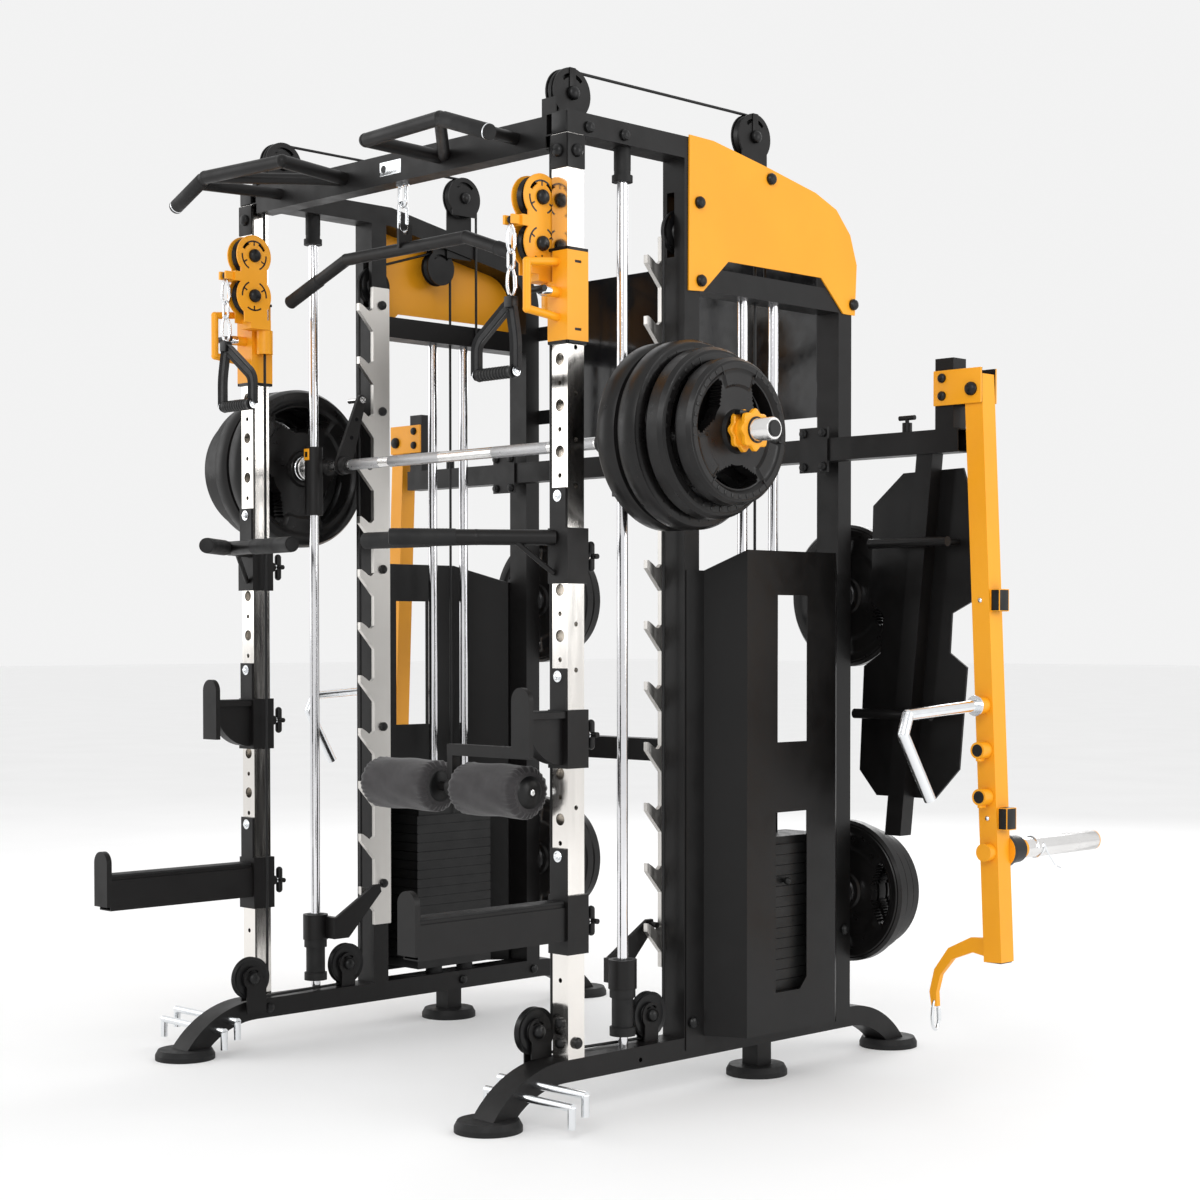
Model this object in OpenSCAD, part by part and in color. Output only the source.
/* [Frame] */
// Half of the width between the outer faces of the two side frames
half_w = 615; // [600:1:640]
// Side of the square front upright and depth of every upright
post = 50; // [46:1:52]
// Width across of the wide tubes: base rails, mid and rear uprights, top beams
wide = 70; // [64:2:74]
// Wall thickness of the steel tubes
wall = 3; // [2:0.5:5]
// Height of the underside of the top beams
post_top = 2180; // [2120:10:2200]
// Pitch of the holes in the front uprights
hole_pitch = 102; // [90:1:110]
/* [Smith bar] */
// Radius of the round guide rods
rod_r = 12.5; // [10:0.5:13]
// Radius of the smith bar between its loading sleeves
bar_r = 14; // [12:0.5:15]
// Radius of the loading sleeves
load_r = 25; // [24:0.5:26]
// Height of the smith bar's axis at rest
bar_z = 1520; // [1500:1:1540]
// Distance from one hook to the next
hook_pitch = 142; // [130:1:150]
// Angle that the bar is turned by to lay its pins in the hooks
hook_turn = 20; // [16:1:22]
/* [Cables] */
// Radius of the large cable pulleys
wheel_r = 54; // [50:1:56]
// Radius of the cable
cable_r = 3.5; // [2:0.5:4]
/* [Weights] */
// Thickness of one plate of a weight stack
stack_t = 25; // [20:1:28]
// Radius of the largest discs on the bar
disc_r = 212; // [180:1:214]
/* [Hidden] */
$fn = 48;
// The drawing has its zero at the front face of the front uprights; mid_y moves it to the middle of the footprint
mid_y = 440;
x_in = half_w - wide;
x_post = half_w - post;
rod_x = 580;
rod_y = 205;
bar_y = 240;
rail_z = 130;
foot_h = 25;
mid_up_y = 374;
rear_up_y = 934;
rear_up_top = 2008;
fit = 0.05;
slide_gap = 0.4;
skin = 7;
// Pin of the bar's hooks: reach from the bar's axis, and its angle when it lies in a hook
pin_r = 7;
pin_reach = 186.3;
pin_low = 51.1;
notch_y = bar_y + pin_reach * cos(pin_low);
notch_z = bar_z + pin_reach * sin(pin_low) - pin_r - 0.3;
// Pulleys: centres (X, Y, Z) on the right-hand side; the cable runs beside each wheel's groove
function cable_at(r) = r - 1;
head_wheel_r = 48;
slot_wheel_r = 50;
under_wheel_r = 45;
swivel_x = 540;
swivel_y = 20;
cable_x = 570;
front_top = [swivel_x, swivel_y + cable_at(wheel_r), post_top + post + wheel_r + 2.5];
rear_top = [swivel_x, 687, front_top[2]];
slot_pulley = [cable_x, mid_up_y + post / 2, 2015];
under_pulley = [cable_x, 626, 2090];
base_front = [swivel_x, swivel_y - cable_at(wheel_r), 190];
base_mid = [cable_x, slot_pulley[1] - cable_at(slot_wheel_r) - cable_at(wheel_r), 190];
head_wheel_y = swivel_y - cable_at(head_wheel_r);
head_wheel_z = [1938, 2040];
fall_y = rear_top[1] + cable_at(wheel_r);
stack_cable_y = under_pulley[1] + cable_at(under_wheel_r);
// Band pegs through the front feet, as (Y, Z), and storage horns on the rear uprights
peg_r = 9;
peg_places = [[-100, 90], [-140, 69]];
horn_x = 580;
horn_zs = [421, 1173];
// Jammer arm: pivot, lean below it, and the inner faces of the fixed cheeks beside it
jam = [1065, 909, 1651];
lean = 2.6;
jam_front = rear_up_y - post - 0.6;
jam_rear = rear_up_y + 0.6;
// Colours
yellow = "goldenrod";
black = "dimgray";
chrome = "silver";
rubber = "#2b2b2b";

// ---- Helpers: one place for shifts, mirrored sides, boxes, rods and tubes ----
module at_home() { translate([0, -mid_y, 0]) children(); }
module one_side(s) { mirror([s < 0 ? 1 : 0, 0, 0]) children(); }
module both_sides() {
    children();
    mirror([1, 0, 0]) children();
}
module bx(x0, x1, y0, y1, z0, z1) { translate([x0, y0, z0]) cube([x1 - x0, y1 - y0, z1 - z0]); }
module rod_x_dir(x0, x1, y, z, r) { translate([x0, y, z]) rotate([0, 90, 0]) cylinder(r = r, h = x1 - x0); }
module rod_y_dir(x, y0, y1, z, r) { translate([x, y0, z]) rotate([-90, 0, 0]) cylinder(r = r, h = y1 - y0); }
module rod_z_dir(x, y, z0, z1, r) { translate([x, y, z0]) cylinder(r = r, h = z1 - z0); }
// Round bar from point a to point b
module bar_ab(a, b, r) {
    d = b - a;
    len = norm(d);
    translate(a) rotate([0, acos(d[2] / len), atan2(d[1], d[0])]) cylinder(r = r, h = len);
}
// Round bar along a list of points, with round knees
module bar_path(pts, r) {
    for (i = [0 : len(pts) - 2]) bar_ab(pts[i], pts[i + 1], r);
    for (i = [1 : 1 : len(pts) - 2]) translate(pts[i]) sphere(r = r + 0.5);
}
// Outline drawn as (Y, Z) and made x1 - x0 thick, and outline drawn as (X, Z) between y0 and y1
module in_yz(x0, x1) { translate([x0, 0, 0]) rotate([90, 0, 90]) linear_extrude(x1 - x0) children(); }
module in_xz(y0, y1) { translate([0, y1, 0]) rotate([90, 0, 0]) linear_extrude(y1 - y0) children(); }
// Square tube standing up
module tube_up(x0, x1, y0, y1, z0, z1) {
    difference() {
        bx(x0, x1, y0, y1, z0, z1);
        bx(x0 + wall, x1 - wall, y0 + wall, y1 - wall, z0 - 1, z1 + 1);
    }
}
// Square tube lying along Y
module tube_along(x0, x1, y0, y1, z0, z1) {
    difference() {
        bx(x0, x1, y0, y1, z0, z1);
        bx(x0 + wall, x1 - wall, y0 - 1, y1 + 1, z0 + wall, z1 - wall);
    }
}
// Square tube lying along X
module tube_across(x0, x1, y0, y1, z0, z1) {
    difference() {
        bx(x0, x1, y0, y1, z0, z1);
        bx(x0 - 1, x1 + 1, y0 + wall, y1 - wall, z0 + wall, z1 - wall);
    }
}
// Domed cap over a bolt, standing on z = 0
module cap(r = 13) {
    rotate_extrude() polygon([[0, 0], [r, 0], [r, r * 0.45], [r * 0.8, r * 0.75], [r * 0.4, r * 0.92], [0, r * 0.95]]);
}
module cap_out(x, y, z, r = 13) { translate([x, y, z]) rotate([0, 90, 0]) cap(r); }
module cap_front(x, y, z, r = 13) { translate([x, y, z]) rotate([90, 0, 0]) cap(r); }
module cap_rear(x, y, z, r = 13) { translate([x, y, z]) rotate([-90, 0, 0]) cap(r); }
module cap_in(x, y, z, r = 13) { translate([x, y, z]) rotate([0, -90, 0]) cap(r); }
// Ring of round wire in the plane across axis Z, and the same with straight sides (a link)
module link_ring(r, wire, straight = 0) {
    translate([0, straight / 2, 0]) rotate_extrude(angle = 180) translate([r, 0]) circle(r = wire, $fn = 24);
    translate([0, -straight / 2, 0]) rotate([0, 0, 180]) rotate_extrude(angle = 180)
        translate([r, 0]) circle(r = wire, $fn = 24);
    for (s = [-1, 1]) translate([s * r, 0, 0]) rotate([90, 0, 0]) cylinder(r = wire, h = straight, center = true, $fn = 24);
}
// T-handled pull pin along -Y from the face at y, at the place (x, z)
module t_pin(x, y, z, dir) {
    translate([x, y, z]) rotate([dir < 0 ? 90 : -90, 0, 0]) {
        cylinder(r = 12, h = 24);
        cylinder(r = 5, h = 40);
        translate([0, 0, 38]) rotate([0, 90, 0]) cylinder(r = 6, h = 46, center = true);
    }
}
// Grooved pulley wheel about X, centred on c
module wheel(c, r) {
    translate(c) rotate([0, 90, 0]) rotate_extrude()
        polygon([[6 + fit, -8], [r * 0.45, -8], [r * 0.5, -5], [r * 0.86, -5], [r, -8], [r - 6, 0], [r, 8],
            [r * 0.86, 5], [r * 0.5, 5], [r * 0.45, 8], [6 + fit, 8]]);
}

// ---- Standing frame ----
// Curved foot: quarter arch of the wide tube, cut flat where the rubber foot meets it
foot_arc_r = 240;
module foot_arch(y, start) {
    difference() {
        translate([0, y, rail_z - post / 2 - foot_arc_r]) rotate([90, 0, 90]) rotate([0, 0, start])
            rotate_extrude(angle = 58, $fn = 96) translate([foot_arc_r - post / 2, x_in]) difference() {
                square([post, wide]);
                translate([wall, wall]) square([post - 2 * wall, wide - 2 * wall]);
            }
        bx(x_in - 1, half_w + 1, y - 400, y + 400, -200, foot_h);
    }
}
foot_front_y = -10;
foot_rear_y = 990;
foot_out = 195;
foot_ys = [foot_front_y - foot_out, 668, foot_rear_y + foot_out];
module base_rails() {
    color(black) at_home() both_sides() difference() {
        union() {
            tube_along(x_in, half_w, foot_front_y, foot_rear_y, rail_z - post, rail_z);
            foot_arch(foot_front_y, 90);
            foot_arch(foot_rear_y, 32);
            tube_up(rod_x - 25, rod_x + 25, foot_ys[1] - 25, foot_ys[1] + 25, foot_h, rail_z - post + 1);
        }
        rod_x_dir(half_w - wall - 1, half_w + 1, 229, rail_z - 31, 5.5);
        for (p = peg_places) rod_x_dir(x_in - 5, half_w + 5, p[0], p[1], peg_r + fit);
    }
}
module rubber_feet() {
    color(rubber) at_home() both_sides() for (y = foot_ys) translate([rod_x, y, 0])
        rotate_extrude() polygon([[0, 0], [75, 0], [75, 12], [68, foot_h], [0, foot_h]]);
}
module front_uprights() {
    color(chrome) at_home() both_sides() difference() {
        tube_up(x_post, half_w, 0, post, rail_z, post_top);
        for (k = [0 : 10]) rod_y_dir(x_post + post / 2, -1, wall + 1, 664 + hole_pitch * k, 13.5);
        for (k = [-3 : 10]) rod_y_dir(x_post + post / 2, -1, wall + 1, 611 + hole_pitch * k, 5.5);
        for (k = [0 : 10]) rod_x_dir(half_w - wall - 1, half_w + 1, post / 2, 690 + hole_pitch * k, 5.5);
    }
}
module mid_uprights() {
    color(black) at_home() both_sides() difference() {
        tube_up(x_in, half_w, mid_up_y, mid_up_y + post, rail_z, post_top);
        bx(cable_x - 12, cable_x + 12, mid_up_y - 1, mid_up_y + post + 1,
            slot_pulley[2] - 60, slot_pulley[2] + 90);
    }
}
module rear_uprights() {
    color(black) at_home() both_sides() difference() {
        tube_up(x_in, half_w, rear_up_y, rear_up_y + post, rail_z, rear_up_top);
        rod_y_dir(horn_x, rear_up_y + post - wall - 1, rear_up_y + post + 1, 820, 5.5);
    }
}
// The top beam runs level, slopes down to the rear and bends into the rear upright
slope_y = 440;
slope = 10.6;
bend_r = 120;
bend_y = rear_up_y + post / 2 - bend_r;
// Outline of the beam as (Y, Z): h above and below the middle line, longer by over at both ends
function arc_pts(r, a0, a1, n = 12) = [for (i = [0 : n]) let (a = a0 + (a1 - a0) * i / n)
    [bend_y + r * cos(a), rear_up_top + r * sin(a)]];
function beam_outline(h, over) = let (z = post_top + post / 2, m = h * tan(slope / 2)) concat(
    [[-over, z + h], [slope_y + m, z + h]], arc_pts(bend_r + h, 90 - slope, 0), [[bend_y + bend_r + h, rear_up_top - over]],
    [[bend_y + bend_r - h, rear_up_top - over]], arc_pts(bend_r - h, 0, 90 - slope), [[slope_y - m, z - h], [-over, z - h]]);
module beam_shape(inset) {
    in_yz(x_in + inset, half_w - inset) polygon(beam_outline(post / 2 - inset, inset));
}
module top_side_beams() {
    color(black) at_home() both_sides() difference() {
        beam_shape(0);
        beam_shape(wall);
    }
}
// Front beam with two pull-up handles that share its front face
beam_low = 2155;
beam_high = 2225;
u_bolt_x = 15;
u_bolt_y = 25;
u_bolt_z = 2112;
module pull_up_handle() {
    bar_path([[180, 2, 2190], [160, -200, 2200], [446, -222, 2200], [590, -210, 2150]], 16);
    bar_ab([446, -222, 2200], [195, 2, 2190], 14);
    bar_ab([480, -219, 2188], [445, 2, 2190], 14);
}
module front_top_beam() {
    color(black) at_home() union() {
        difference() {
            tube_across(-x_in, x_in, 0, post, beam_low, beam_high);
            both_sides() bx(swivel_x - 9, swivel_x + 6, swivel_y - 8, swivel_y + 8, beam_low - 1, beam_high + 1);
        }
        both_sides() pull_up_handle();
        // U-bolt that carries the pull-down bar
        translate([u_bolt_x, u_bolt_y, u_bolt_z]) rotate([90, 0, 0]) rotate([0, 0, 180])
            rotate_extrude(angle = 180) translate([12, 0]) circle(r = 4, $fn = 24);
        for (s = [-1, 1]) rod_z_dir(u_bolt_x + 12 * s, u_bolt_y, u_bolt_z, beam_low + 1, 4);
    }
}
cross_low = 1507;
cross_high = 1563;
wing = 1020;
stub_x0 = 954;
stub_x1 = 1007;
stub_top = 1730;
module rear_crossbeams() {
    color(black) at_home() union() {
        tube_across(-wing, wing, rear_up_y - post, rear_up_y, cross_low, cross_high);
        tube_across(-x_in, x_in, rear_up_y, rear_up_y + post, 730, 790);
        both_sides() {
            bx(x_in - 10, half_w + 10, rear_up_y - post - 6, rear_up_y - post + 1, cross_low - 28, cross_high + 28);
            tube_up(stub_x0, stub_x1, rear_up_y - post, rear_up_y, cross_high - 1, stub_top);
            // Cheeks and pivot pin of the jammer arm
            for (y = [jam_front - 6, jam_rear]) bx(stub_x0, jam[0] + 26, y, y + 6, 1618, 1700);
            for (y = [[jam_front - 6, jam_front + 0.6], [jam_rear - 0.6, jam_rear + 6]])
                bx(stub_x0, stub_x1, y[0], y[1], 1618, 1700);
            rod_y_dir(jam[0], jam_front - 5, jam_rear + 5, jam[2], 12);
            // Pull pin that fixes the foot plate
            rod_z_dir(851, rear_up_y - post / 2, cross_high - 1, cross_high + 24, 12);
            rod_z_dir(851, rear_up_y - post / 2, cross_high, cross_high + 36, 5);
            rod_x_dir(828, 874, rear_up_y - post / 2, cross_high + 36, 6);
            difference() {
                tube_along(x_in, half_w, mid_up_y + post, rear_up_y, 1880, 1935);
                bx(cable_x - 8, cable_x + 8, stack_cable_y - 8, stack_cable_y + 8, 1870, 1940);
            }
            bx(swivel_x - 10, x_in + 1, fall_y - 12, fall_y + 12, 1888, 1896);
        }
    }
}
module back_panel() {
    w = 500;
    color("black") at_home() union() {
        in_xz(rear_up_y + post, rear_up_y + post + 4) polygon([[-w, 1630], [w, 1630], [w, 1990], [w - 70, 2070],
            [70 - w, 2070], [-w, 1990]]);
        for (s = [-1, 1], z = [1680, 1920])
            bx(s > 0 ? w - 1 : -x_in - 20, s > 0 ? x_in + 20 : 1 - w, rear_up_y + post, rear_up_y + post + 4, z, z + 40);
    }
}
// Hook plates: a strip with one finger for each step of the bar
hook_t = 12;
hook_count = 12;
first_notch = notch_z - 9 * hook_pitch;
finger = [[17, -60], [-35, -2], [-35, 17], [-31, 17], [-27, 15], [-17, 9], [-7, 1.5], [-3, 0], [3, 0], [12, 8], [12, 40], [17, 40]];
module hook_plates() {
    color("gainsboro") at_home() both_sides() in_yz(x_in - hook_t, x_in) union() {
        translate([notch_y + 12, 290]) square([mid_up_y + post - notch_y - 12, 1717]);
        for (k = [0 : hook_count - 1]) translate([notch_y, first_notch + hook_pitch * k]) polygon(finger);
    }
}
module side_panels() {
    color(yellow) at_home() both_sides() in_yz(half_w, half_w + 4) polygon([[387, 2235], [469, 2233], [669, 2198],
        [840, 2164], [920, 2133], [974, 2077], [1000, 2005], [993, 1878], [948, 1878], [862, 1958], [521, 1957],
        [434, 1878], [385, 1875]]);
}
stack_rod_y = [614, 726];
module guide_rods() {
    color(chrome) at_home() both_sides() {
        rod_z_dir(rod_x, rod_y, rail_z, post_top, rod_r);
        for (y = stack_rod_y) rod_z_dir(rod_x, y, rail_z, 1880, rod_r);
    }
}
socket_top = 291;
module rod_end_sockets() {
    color(rubber) at_home() both_sides() difference() {
        union() {
            rod_z_dir(rod_x, rod_y, 155, 175, 30);
            rod_z_dir(rod_x, rod_y, 155, 262.5, 25);
            rod_z_dir(rod_x, rod_y, 243, 262.5, 30);
            rod_z_dir(rod_x, rod_y, 262, 331, 22);
            rod_z_dir(rod_x, rod_y, 2103, 2118, 24);
            rod_z_dir(rod_x, rod_y, 2103, 2134, 19);
            for (y = stack_rod_y) rod_z_dir(rod_x, y, rail_z, 147, 23);
        }
        rod_z_dir(rod_x, rod_y, 100, 2200, rod_r + fit);
        for (y = stack_rod_y) rod_z_dir(rod_x, y, 100, 200, rod_r + fit);
    }
}
// Shroud of each weight stack: thin sheet bent round the outer side, with two windows
shroud_x = 715;
shroud_t = 2.5;
module stack_shrouds() {
    t = shroud_t;
    color(black) at_home() both_sides() difference() {
        union() {
            translate([0, 0, 128]) linear_extrude(1145) polygon([[half_w, 437], [shroud_x, 482], [shroud_x, 804],
                [half_w, 930], [half_w, 930 - 1.5 * t], [shroud_x - t, 804 - t / 2], [shroud_x - t, 482 + t / 2],
                [half_w, 437 + 1.5 * t]]);
            bx(half_w, half_w + t, 378, 441, 100, 1260);
            bx(half_w, half_w + t, 926, 980, 100, 1260);
        }
        translate([half_w, 0, 1224]) rotate([0, -26, 0]) translate([-50, 0, 0]) cube([250, 1500, 200]);
        bx(shroud_x - 10, shroud_x + 10, 590, 698, 819, 1168);
        in_yz(shroud_x - 10, shroud_x + 10) polygon([[584, 652], [584, 223], [672, 223], [697, 250], [697, 652]]);
    }
}
// Weight stacks: plates with a groove between each two
stack_low = 147;
low_plates = 13;
top_plates = 4;
module stack_plates(count, z0) {
    difference() {
        union() {
            bx(558, 687, 540, 800, z0, z0 + count * stack_t);
            for (k = [0 : count - 1]) bx(556, 690, 536, 804, z0 + k * stack_t + 1, z0 + (k + 1) * stack_t - 1);
        }
        for (y = stack_rod_y) rod_z_dir(rod_x, y, z0 - 1, z0 + count * stack_t + 1, rod_r + 0.5);
        rod_z_dir(cable_x, stack_cable_y, z0 - 1, z0 + count * stack_t + 1, 7);
    }
}
module lower_weights() { color(rubber) at_home() both_sides() stack_plates(low_plates, stack_low); }
module top_weights(s) {
    z0 = stack_low + low_plates * stack_t + slide_gap;
    color(rubber) at_home() one_side(s) union() {
        stack_plates(top_plates, z0);
        // Head with its stem round the cable, and the selector pin
        difference() {
            union() {
                bx(562, 684, 546, 794, z0 + top_plates * stack_t - 1, z0 + top_plates * stack_t + 18);
                rod_z_dir(cable_x, stack_cable_y, z0 + top_plates * stack_t, z0 + top_plates * stack_t + 50, 13);
            }
            for (y = stack_rod_y) rod_z_dir(rod_x, y, z0, z0 + 200, rod_r + 0.5);
            rod_z_dir(cable_x, stack_cable_y, z0, z0 + 200, 7);
        }
        rod_x_dir(686, 700, 640, z0 + stack_t / 2, 5);
        translate([702, 640, z0 + stack_t / 2]) sphere(r = 9);
    }
}

// ---- Cables and pulleys ----
// Unit normal of the straight run that lies on top of two wheels, in (Y, Z)
function run_angle(a, b, ra, rb) = let (d = [b[1] - a[1], b[2] - a[2]]) atan2(d[1], d[0]) + acos((ra - rb) / norm(d));
module cable_knee(c, r, from, sweep) {
    translate(c) rotate([90, 0, 90]) rotate([0, 0, from]) rotate_extrude(angle = sweep)
        translate([r, 0]) circle(r = cable_r + 0.08, $fn = 24);
}
module cables() {
    rw = cable_at(wheel_r);
    rs = cable_at(slot_wheel_r);
    ru = cable_at(under_wheel_r);
    low = base_front[2] - rw;
    n = run_angle(slot_pulley, under_pulley, rs, ru);
    color("black") at_home() both_sides() union() {
        // Top run: from the stack's anchor over both top pulleys and down the swivel axis
        bar_ab([swivel_x, fall_y, 1896], [swivel_x, fall_y, rear_top[2]], cable_r);
        cable_knee(rear_top, rw, 0, 90);
        bar_ab([swivel_x, front_top[1], front_top[2] + rw], [swivel_x, rear_top[1], rear_top[2] + rw], cable_r);
        cable_knee(front_top, rw, 90, 90);
        bar_ab([swivel_x, swivel_y, base_front[2]], [swivel_x, swivel_y, front_top[2]], cable_r);
        // Base run, then up to the slot pulley and over to the weight stack
        cable_knee(base_front, rw, -90, 90);
        bar_ab([swivel_x, base_front[1], low], [cable_x, base_mid[1], low], cable_r);
        for (c = [base_front, base_mid]) translate([c[0], c[1], low]) sphere(r = cable_r + 0.5);
        cable_knee(base_mid, rw, -90, 90);
        bar_ab([cable_x, base_mid[1] + rw, base_mid[2]], [cable_x, slot_pulley[1] - rs, slot_pulley[2]], cable_r);
        cable_knee(slot_pulley, rs, n, 180 - n);
        bar_ab([cable_x, slot_pulley[1] + rs * cos(n), slot_pulley[2] + rs * sin(n)],
            [cable_x, under_pulley[1] + ru * cos(n), under_pulley[2] + ru * sin(n)], cable_r);
        cable_knee(under_pulley, ru, 0, n);
        bar_ab([cable_x, stack_cable_y, 500], [cable_x, stack_cable_y, under_pulley[2]], cable_r);
    }
}
// Two cheeks, a foot and the axle of a bracket; half_gap is from the wheel's middle to a cheek
half_gap = 10;
cheek_t = 4;
module cheeks(c, r, y0, y1, z0, z1) {
    for (s = [-1, 1]) difference() {
        union() {
            x = c[0] + s * (half_gap + cheek_t / 2) - cheek_t / 2;
            rod_x_dir(x, x + cheek_t, c[1], c[2], r);
            bx(x, x + cheek_t, y0, y1, z0, z1);
        }
        // Round slot near the rim
        translate(c) rotate([90, 0, 90]) rotate([0, 0, 45]) translate([0, 0, -20])
            rotate_extrude(angle = 90) translate([r * 0.62, 0]) square([r * 0.16, 40]);
    }
    rod_x_dir(c[0] - half_gap - 1, c[0] + half_gap + 1, c[1], c[2], 6);
}
module pulley_brackets() {
    rc = wheel_r + 3;
    color(black) at_home() both_sides() {
        difference() {
            union() {
                cheeks(front_top, rc, front_top[1] - 40, front_top[1] + 40, beam_high, front_top[2]);
                cheeks(rear_top, rc, rear_top[1] - 44, rear_top[1] + 44, 2120, rear_top[2]);
                cheeks(under_pulley, 48, under_pulley[1] - 30, under_pulley[1] + 30, under_pulley[2], 2180);
                bx(swivel_x - 14, swivel_x + 30, front_top[1] - 67, front_top[1] - 63, beam_high, front_top[2] - 20);
            }
            beam_shape(0);
            bx(swivel_x - 20, x_in - 1, 50, 1000, 2100, rear_top[2] - 58);
            bx(swivel_x - 20, x_in - 1, 600, 1000, 2100, rear_top[2] - 50);
        }
        // Under pulley's wheel, fixed here
        wheel_fixed(under_pulley, under_wheel_r);
        cheeks(base_mid, 30, base_mid[1] - 22, base_mid[1] + 22, rail_z, base_mid[2]);
        rod_x_dir(x_in + wall, half_w - wall, slot_pulley[1], slot_pulley[2], 6);
        // Base front pulley: its inner cheek stands on a step beside the rail
        difference() {
            cheeks(base_front, 30, base_front[1] - 20, base_front[1] + 40, 100, base_front[2]);
            bx(x_in, half_w, -300, 60, 0, rail_z);
            bx(swivel_x, x_in, -300, 60, 0, rail_z + 2);
        }
        bx(swivel_x - half_gap - cheek_t, x_in, foot_front_y, base_front[1] + 40, 100, 106);
    }
}
module wheel_fixed(c, r) {
    translate(c) rotate([0, 90, 0]) rotate_extrude()
        polygon([[5, -10.5], [10, -10.5], [r * 0.5, -5], [r * 0.86, -5], [r, -8], [r - 6, 0], [r, 8],
            [r * 0.86, 5], [r * 0.5, 5], [10, 10.5], [5, 10.5]]);
}
module pulley(s, c, r) { color(rubber) at_home() one_side(s) wheel(c, r); }
// Domed caps over the frame's bolts
module bolt_caps() {
    color("black") at_home() both_sides() {
        for (p = [[419, 2082], [424, 1901], [671, 2173], [984, 1904]]) cap_out(half_w + 4, p[0], p[1], 14);
        for (y = [65, 176]) cap_out(half_w, y, post_top + 20, 13);
        cap_out(half_w, 25, 2142, 14);
        cap_front(x_post + 25, 0, 2142, 14);
        for (z = [165, 210]) cap_front(x_post + 25, 0, z, 12);
        cap_out(half_w, 25, 165, 13);
        cap_out(half_w + shroud_t, 399, 165, 13);
        cap_out(half_w + shroud_t, 955, 330, 13);
        for (x = [x_in + 4, half_w - 4], z = [cross_low - 14, cross_high + 14])
            cap_front(x, rear_up_y - post - 6, z, 11);
        for (z = [400, 825, 1250, 1675, 1960]) cap_in(x_in - hook_t, 398, z, 12);
        for (y = [30, 690, 960]) cap_in(x_in, y, rail_z - 25, 12);
        for (z = [748, 772]) cap_rear(x_post + 10, rear_up_y + post, z, 10);
    }
}
// Stored discs on horns behind the rear uprights
module tri_disc(r, t, bore, hub = 40) {
    difference() {
        rotate_extrude($fn = 96) polygon([[bore, 0], [r - 4, 0], [r, 4], [r, t - 4], [r - 4, t], [r - 22, t],
            [r - 26, t - 4], [hub + 14, t - 4], [hub + 8, t], [bore, t]]);
        for (a = [0, 120, 240]) rotate([0, 0, a - 30]) translate([0, 0, -1])
            rotate_extrude(angle = 60) translate([r * 0.48, 0]) square([r * 0.28, t + 2]);
    }
}
module storage_plates() {
    color(rubber) at_home() both_sides() for (z = horn_zs) {
        rod_y_dir(horn_x, rear_up_y + post, rear_up_y + post + 8, z, 40);
        rod_y_dir(horn_x, rear_up_y + post + 7, 1240, z, load_r - 1);
        for (k = [0 : 2]) translate([horn_x, 1002 + 42 * k, z]) rotate([-90, 0, 0]) tri_disc(180 - 14 * k, 40, load_r - 1);
    }
}
module foot_plate() {
    y0 = rear_up_y - post;
    color(black) at_home() union() {
        // Leaning tube that hangs from the upper crossbeam's front edge
        difference() {
            in_xz(y0 + 6, rear_up_y - 2) polygon([[800, 585], [848, 585], [942, cross_low], [894, cross_low]]);
            in_xz(y0 + 9, rear_up_y - 5) polygon([[803, 580], [845, 580], [939, cross_low - 3], [898, cross_low - 3]]);
        }
        in_xz(rear_up_y - 2, rear_up_y + 4) polygon([[822, 1468], [1001, 1472], [1026, 1400], [1026, 1152], [969, 1125],
            [963, 1031], [1014, 996], [992, 751], [920, 677], [741, 677], [687, 738], [700, 996], [752, 1028],
            [762, 1122], [722, 1155], [728, 1392]]);
        for (p = [[772, 1007, 1295], [726, 960, 881]]) {
            rod_x_dir(p[0], p[1], y0 - 20, p[2], 12);
            for (x = [p[0] + 20, p[1] - 20]) rod_y_dir(x, y0 - 20, rear_up_y - 1, p[2], 8);
        }
    }
}
module band_pegs() {
    color(chrome) at_home() both_sides() for (p = peg_places) {
        rod_x_dir(499, 778, p[0], p[1], peg_r);
        for (x = [503, 774]) rod_z_dir(x, p[0], p[1] - 46, p[1], peg_r);
    }
}

// ---- Smith bar ----
housing_r = 24;
module slide_sleeves() {
    color(black) at_home() both_sides() difference() {
        union() {
            rod_z_dir(rod_x, rod_y, bar_z - 130, bar_z + 50, housing_r);
            rod_x_dir(rod_x - 20, rod_x + 20, bar_y, bar_z, housing_r);
        }
        rod_z_dir(rod_x, rod_y, bar_z - 140, bar_z + 60, rod_r + fit);
        rod_x_dir(rod_x - 30, rod_x + 30, bar_y, bar_z, bar_r + fit);
    }
}
load_x0 = 650;
load_x1 = 1010;
pin_high = pin_low + hook_turn;
module smith_bar() {
    pin_y = bar_y + pin_reach * cos(pin_high);
    pin_z = bar_z + pin_reach * sin(pin_high);
    color(chrome) at_home() union() {
        rod_x_dir(-load_x0 - 1, load_x0 + 1, bar_y, bar_z, bar_r);
        both_sides() {
            rod_x_dir(load_x0, load_x1, bar_y, bar_z, load_r);
            rod_x_dir(load_x0, load_x0 + 12, bar_y, bar_z, load_r + 8);
            translate([load_x1, bar_y, bar_z]) rotate([0, 90, 0]) cap(12);
            // Hook arm with its pin
            in_yz(495, 505) union() {
                translate([bar_y, bar_z]) circle(r = 25);
                translate([pin_y, pin_z]) circle(r = 13);
                polygon([[bar_y - 22, bar_z + 8], [bar_y + 24, bar_z - 8], [pin_y + 13, pin_z - 4], [pin_y - 13, pin_z + 2]]);
            }
            rod_x_dir(504, 550, pin_y, pin_z, pin_r);
        }
    }
}
disc_sizes = [[disc_r, 62], [disc_r, 62], [disc_r - 22, 60], [disc_r - 50, 56]];
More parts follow.
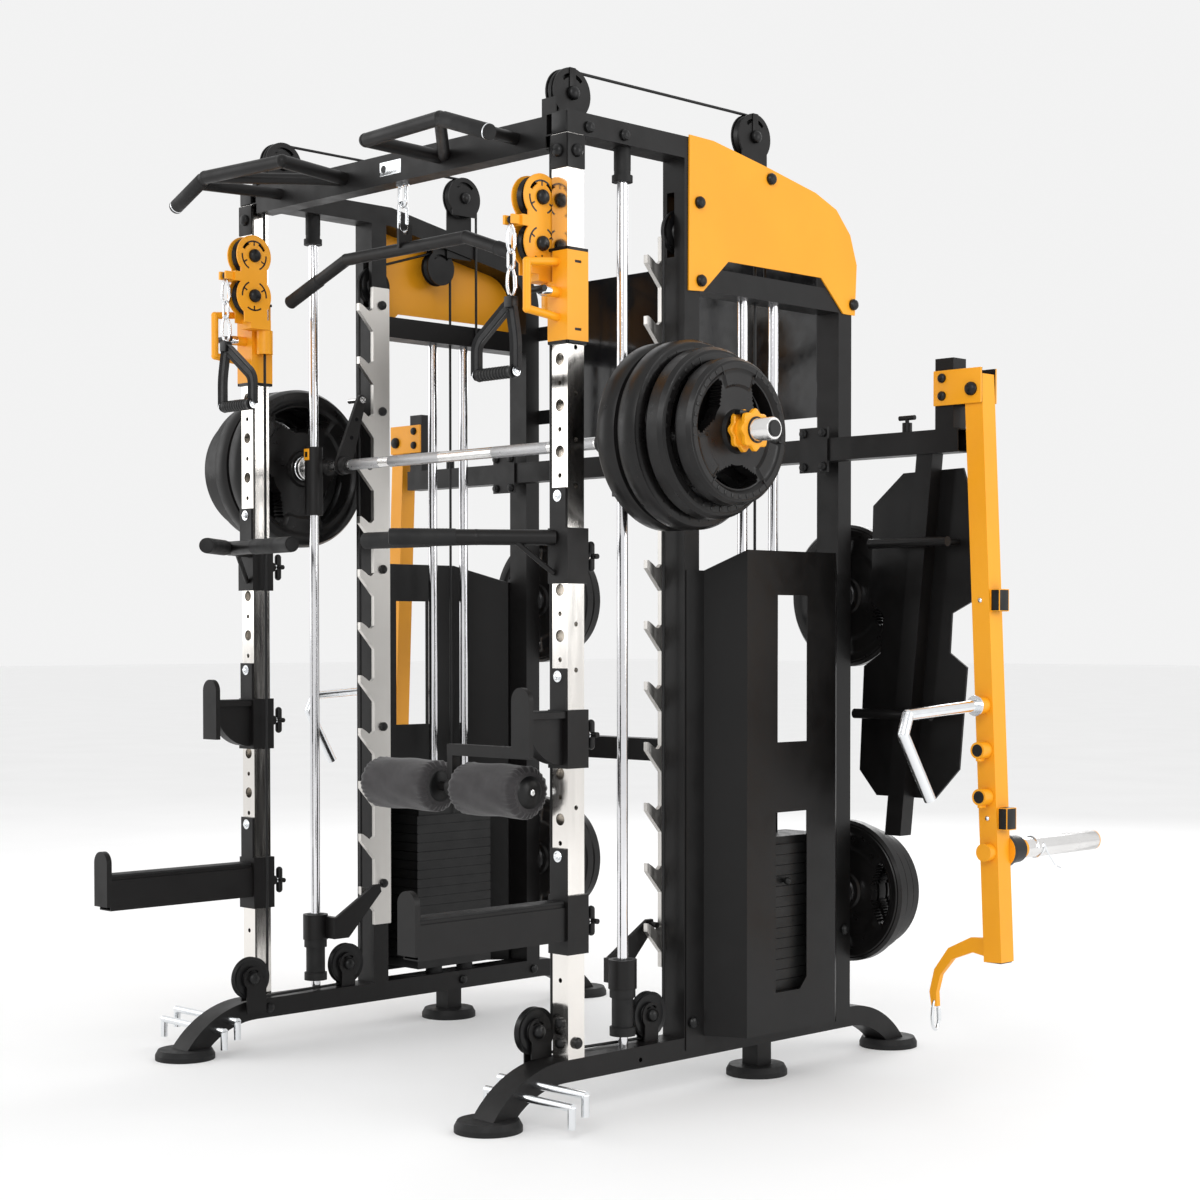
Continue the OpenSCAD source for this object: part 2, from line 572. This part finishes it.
function disc_x(i) = i == 0 ? load_x0 + 16 : disc_x(i - 1) + disc_sizes[i - 1][1] + 2;
collar_x = disc_x(3) + disc_sizes[3][1] + 1;
module bar_plates() {
    color(rubber) at_home() both_sides() {
        for (i = [0 : 3]) translate([disc_x(i), bar_y, bar_z]) rotate([0, 90, 0])
            tri_disc(disc_sizes[i][0], disc_sizes[i][1], load_r + fit);
        color(yellow) difference() {
            rod_x_dir(collar_x, collar_x + 46, bar_y, bar_z, 44);
            rod_x_dir(collar_x - 1, collar_x + 60, bar_y, bar_z, load_r + fit);
        }
    }
}
catch_pin = [notch_y + 3, first_notch + pin_r + 3];
module safety_catch(s) {
    color(black) at_home() one_side(s) difference() {
        union() {
            rod_z_dir(rod_x, rod_y, 263, 330, 33);
            in_yz(509, 519) polygon([[222, 268], [262, 268], [catch_pin[0] + 12, catch_pin[1] - 8],
                [catch_pin[0] + 8, catch_pin[1] + 12], [catch_pin[0] - 10, catch_pin[1] + 12], [222, 325]]);
            bx(509, 572, 214, 232, 268, 325);
            rod_x_dir(510, x_in - hook_t + 7, catch_pin[0], catch_pin[1], pin_r);
        }
        rod_z_dir(rod_x, rod_y, 250, 340, 22 + fit);
    }
}
// ---- Sleeves on the front uprights ----
// Square sleeve round the upright, from z0 to z1
module sleeve(z0, z1) {
    g = slide_gap;
    difference() {
        bx(x_post - skin, half_w + skin, -skin, post + skin, z0, z1);
        bx(x_post - g, half_w + g, -g, post + g, z0 - 1, z1 + 1);
    }
}
trolley_z = [1724, 1922];
barrel_z = [1795, 1855];
module trolley(s) {
    zp = 1830;
    mid = x_post + post / 2;
    color(yellow) at_home() one_side(s) union() {
        difference() {
            union() {
                sleeve(trolley_z[0], trolley_z[1]);
                rod_z_dir(swivel_x, swivel_y, barrel_z[0], barrel_z[1], 21);
                rod_y_dir(mid, -40, -skin + 1, zp, 12);
            }
            bx(x_post - 0.4, half_w + 0.4, -0.4, post + 0.4, 1700, 1950);
            // Room for the swivel head above the barrel, and two slots in the outer face
            bx(swivel_x - 30, x_post - 0.3, -skin - 1, post + skin + 1, barrel_z[1], trolley_z[1] + 1);
            bx(swivel_x - 30, x_post + 9, -skin - 1, 0, barrel_z[1], trolley_z[1] + 1);
            for (z = [1746, 1895]) bx(half_w - 1, half_w + 20, 16, 36, z, z + 6);
            rod_z_dir(swivel_x, swivel_y, barrel_z[0] - 1, barrel_z[1] + 1, 12 + fit);
            rod_y_dir(mid, -50, 1, zp, 5 + fit);
        }
        // Grab loop
        bar_path([[mid, -skin + 1, 1775], [mid, -98, 1785], [mid, -98, 1888], [mid, -skin + 1, 1898]], 9);
    }
}
module trolley_pin(s) {
    mid = x_post + post / 2;
    color("black") at_home() one_side(s) union() {
        rod_y_dir(mid, -66, -0.8, 1830, 5);
        rod_x_dir(mid - 22, mid + 22, -68, 1830, 6);
    }
}
module swivel_head(s) {
    x0 = swivel_x - 22;
    x1 = swivel_x + 22;
    color(yellow) at_home() one_side(s) union() {
        difference() {
            union() {
                for (x = [x0, x1 - 4], z = head_wheel_z) rod_x_dir(x, x + 4, head_wheel_y, z, 52);
                for (x = [x0, x1 - 4]) bx(x, x + 4, head_wheel_y - 40, head_wheel_y + 40, 1938, 2040);
                bx(x0, x1, head_wheel_y - 10, swivel_y + 4, barrel_z[1] + 0.5, 1880);
                for (x = [x0, x1 - 4]) bx(x, x + 4, head_wheel_y - 30, head_wheel_y + 40, 1870, 1938);
                bx(x0, x1, head_wheel_y - 58, head_wheel_y - 51, 1972, 1996);
                for (x = [x0, x1 - 4]) bx(x, x + 4, head_wheel_y - 58, head_wheel_y - 30, 1972, 1996);
                rod_z_dir(swivel_x, swivel_y, barrel_z[0] + 4, 1862, 12);
            }
            rod_z_dir(swivel_x, swivel_y, barrel_z[0], 1900, 5);
            for (x = [x0 - 1, x1 - 5]) for (a = [25, 115]) translate([x, head_wheel_y, 2040]) rotate([90, 0, 90])
                rotate([0, 0, a]) rotate_extrude(angle = 40) translate([30, 0]) square([9, 6]);
        }
        for (z = head_wheel_z) rod_x_dir(x0 + 3, x1 - 3, head_wheel_y, z, 6);
        // Fork for the handle's ball
        for (dx = [-16, 9]) bx(swivel_x + dx, swivel_x + dx + 7, grip_y - 10, head_wheel_y - 57, 1974, 1994);
        rod_x_dir(swivel_x - 12, swivel_x + 12, grip_y, 1984, 4);
    }
}
module head_pulley(s, i) { pulley(s, [swivel_x, head_wheel_y, head_wheel_z[i]], head_wheel_r); }
grip_y = head_wheel_y - 72;
grip_x = 505;
module stirrup_handle(s) {
    color("black") at_home() one_side(s) union() {
        difference() {
            rod_x_dir(swivel_x - 8, swivel_x + 8, grip_y, 1984, 9);
            rod_x_dir(swivel_x - 9, swivel_x + 9, grip_y, 1984, 4 + fit);
        }
        for (i = [0 : 2]) translate([swivel_x, grip_y, 1944 - 51 * i]) rotate([90, 0, 90 * ((i + 1) % 2)])
            link_ring(11, 4, 36);
        bar_ab([swivel_x, grip_y, 1978], [swivel_x, grip_y, 1970], 5);
        // Strap and grip
        bar_path([[swivel_x, grip_y, 1810], [grip_x - 80, grip_y, 1690],
            [grip_x - 80, grip_y, 1652], [grip_x + 50, grip_y, 1652], [grip_x + 50, grip_y, 1690],
            [swivel_x + 4, grip_y, 1808]], 4);
        rod_x_dir(grip_x - 74, grip_x + 44, grip_y, 1652, 15);
    }
}
module dip_bar(s) {
    mid = x_post + post / 2;
    color(black) at_home() one_side(s) union() {
        sleeve(1188, 1311);
        bx(x_post, half_w, -skin, -slide_gap, 1310, 1400);
        difference() {
            bar_path([[mid - 12, -2, 1290], [470, -140, 1290], [350, -290, 1290]], 17.5);
            bx(x_post - 0.4, half_w + 0.4, -0.4, 60, 1180, 1320);
        }
        bar_ab([470, -140, 1290], [140, -190, 1290], 17.5);
        bar_ab([mid - 10, -skin - 2, 1210], [530, -74, 1278], 6);
        t_pin(mid, post + skin - 1, 1250, 1);
    }
}
module j_cup(s) {
    mid = x_post + post / 2;
    color(black) at_home() one_side(s) union() {
        sleeve(778, 908);
        bx(x_post, half_w, -skin, -slide_gap, 907, 1000);
        bx(x_post - 2, half_w + 2, -108, -skin + 1, cup_seat - 14, cup_seat);
        // Web under the seat, rounded at its lower front corner
        in_yz(mid - 16, mid + 16) intersection() {
            translate([-skin + 1, cup_seat - 13]) circle(r = 105, $fn = 96);
            translate([-108, cup_seat - 120]) square([108 - skin + 1, 107]);
        }
        bx(x_post - 4, half_w + 4, -120, -107, 806, 930);
        translate([mid, -107, 930]) rotate([90, 0, 0]) cylinder(r = 29, h = 13);
        t_pin(mid, post + skin - 1, 850, 1);
        if (s > 0) difference() {
            union() {
                bx(roller_arm_x - 10, mid - 15, roller_y - 12, roller_y + 12, 796, 822);
                bx(roller_arm_x - 9, roller_arm_x + 9, roller_y - 12, roller_y + 12, roller_z, 800);
                rod_x_dir(roller_arm_x - 9, roller_arm_x + 9, roller_y, roller_z, 22);
            }
            rod_x_dir(roller_arm_x - 20, roller_arm_x + 20, roller_y, roller_z, 12 + fit);
        }
    }
}
cup_seat = 904;
roller_arm_x = 262;
roller_y = -30;
roller_z = 722;
module leg_rollers() {
    color(rubber) at_home() union() {
        rod_x_dir(-26, 534, roller_y, roller_z, 12);
        for (p = [[-16, 219], [304, 524]]) rod_x_dir(p[0], p[1], roller_y, roller_z, 63);
        for (p = [[-26, -15], [523, 534]]) rod_x_dir(p[0], p[1], roller_y, roller_z, 36);
    }
}
module spotter_arm(s) {
    color(black) at_home() one_side(s) union() {
        sleeve(364, 496);
        bx(x_post, half_w, -skin, -slide_gap, 495, 600);
        tube_along(x_post, half_w, -427, -skin + 1, 395, 470);
        bx(x_post - 4, half_w + 4, -440, -426, 405, 512);
        translate([x_post + post / 2, -426, 512]) rotate([90, 0, 0]) cylinder(r = 29, h = 14);
        bx(x_post + 4, half_w - 4, -426, -skin, 469, 478);
        t_pin(x_post + post / 2, post + skin - 1, 430, 1);
    }
}
// ---- Jammer arm: hangs from the crossbeam's stub and swings out sideways ----
module jammer_arm(s) {
    y0 = rear_up_y - post;
    color(yellow) at_home() one_side(s) union() {
        difference() {
            union() {
                translate(jam) rotate([0, -lean, 0]) translate([-25, -25, -1346]) difference() {
                    cube([50, 50, 1380]);
                    translate([wall, wall, 40]) cube([50 - 2 * wall, 50 - 2 * wall, 1400]);
                }
            }
            rod_y_dir(jam[0], y0 - 10, rear_up_y + 10, jam[2], 12 + fit);
        }
        // Sockets on the front face, the bent handle in the upper one
        for (z = [909, 804, 695]) rod_y_dir(jam_x(z), y0 - 32, y0 + 1, z, 19);
        bar_path([[jam_x(905), y0 - 30, 909], [jam_x(905), 595, 894], [jam_x(850), 575, 850],
            [jam_x(700), 665, 700]], 12);
        for (z = [1155, 644]) bx(jam_x(z) + 20, jam_x(z) + 50, y0 + 6, rear_up_y - 6, z - 26, z + 26);
        rod_y_dir(jam_x(565), y0 - 22, y0 + 1, 565, 21);
        rod_y_dir(jam_x(565), rear_up_y - 1, 1320, 565, load_r - 1);
        rod_y_dir(jam_x(565), rear_up_y - 1, 944, 565, 40);
        // Claw at the foot of the arm
        in_xz(y0 + 16, y0 + 30) polygon([[1140, 308], [1140, 362], [1051, 357], [985, 325], [944, 270], [930, 215],
            [936, 181], [952, 181], [950, 215], [962, 258], [998, 300], [1056, 322]]);
    }
}
function jam_x(z) = jam[0] + (jam[2] - z) * tan(lean);
// The pull-down bar on its hanger
lat_half = 460;
module lat_bar() {
    z = 2000;
    color(black) at_home() union() {
        bar_path([[u_bolt_x - lat_half, 30, 1918], [u_bolt_x - 225, 30, z], [u_bolt_x + 225, 30, z],
            [u_bolt_x + lat_half, 30, 1918]], 15);
        difference() {
            bx(u_bolt_x - 4, u_bolt_x + 4, 10, 50, z, 2058);
            rod_x_dir(u_bolt_x - 5, u_bolt_x + 5, 30, 2040, 7);
        }
        // Snap hook from the plate up to the U-bolt
        translate([u_bolt_x, u_bolt_y, 2074]) rotate([90, 0, 90]) link_ring(12, 3.6, 46);
    }
}

base_rails();
rubber_feet();
front_uprights();
mid_uprights();
rear_uprights();
top_side_beams();
front_top_beam();
rear_crossbeams();
back_panel();
hook_plates();
side_panels();
guide_rods();
rod_end_sockets();
stack_shrouds();
lower_weights();
pulley_brackets();
cables();
bolt_caps();
storage_plates();
foot_plate();
band_pegs();
slide_sleeves();
smith_bar();
bar_plates();
safety_catch(-1);  // safety_catch_left
safety_catch(1);  // safety_catch_right
top_weights(-1);  // top_weights_left
top_weights(1);  // top_weights_right
trolley(-1);  // trolley_left
trolley(1);  // trolley_right
trolley_pin(-1);  // trolley_pin_left
trolley_pin(1);  // trolley_pin_right
swivel_head(-1);  // swivel_head_left
swivel_head(1);  // swivel_head_right
head_pulley(-1, 1);  // upper_swivel_pulley_left
head_pulley(1, 1);  // upper_swivel_pulley_right
head_pulley(-1, 0);  // lower_swivel_pulley_left
head_pulley(1, 0);  // lower_swivel_pulley_right
stirrup_handle(-1);  // stirrup_handle_left
stirrup_handle(1);  // stirrup_handle_right
pulley(-1, front_top, wheel_r);  // front_top_pulley_left
pulley(1, front_top, wheel_r);  // front_top_pulley_right
pulley(-1, rear_top, wheel_r);  // rear_top_pulley_left
pulley(1, rear_top, wheel_r);  // rear_top_pulley_right
pulley(-1, base_front, wheel_r);  // base_front_pulley_left
pulley(1, base_front, wheel_r);  // base_front_pulley_right
pulley(-1, base_mid, wheel_r);  // base_mid_pulley_left
pulley(1, base_mid, wheel_r);  // base_mid_pulley_right
pulley(-1, slot_pulley, slot_wheel_r);  // slot_pulley_left
pulley(1, slot_pulley, slot_wheel_r);  // slot_pulley_right
dip_bar(-1);  // dip_bar_left
dip_bar(1);  // dip_bar_right
j_cup(-1);  // j_cup_left
j_cup(1);  // j_cup_right
spotter_arm(-1);  // spotter_arm_left
spotter_arm(1);  // spotter_arm_right
leg_rollers();
jammer_arm(-1);  // jammer_arm_left
jammer_arm(1);  // jammer_arm_right
lat_bar();
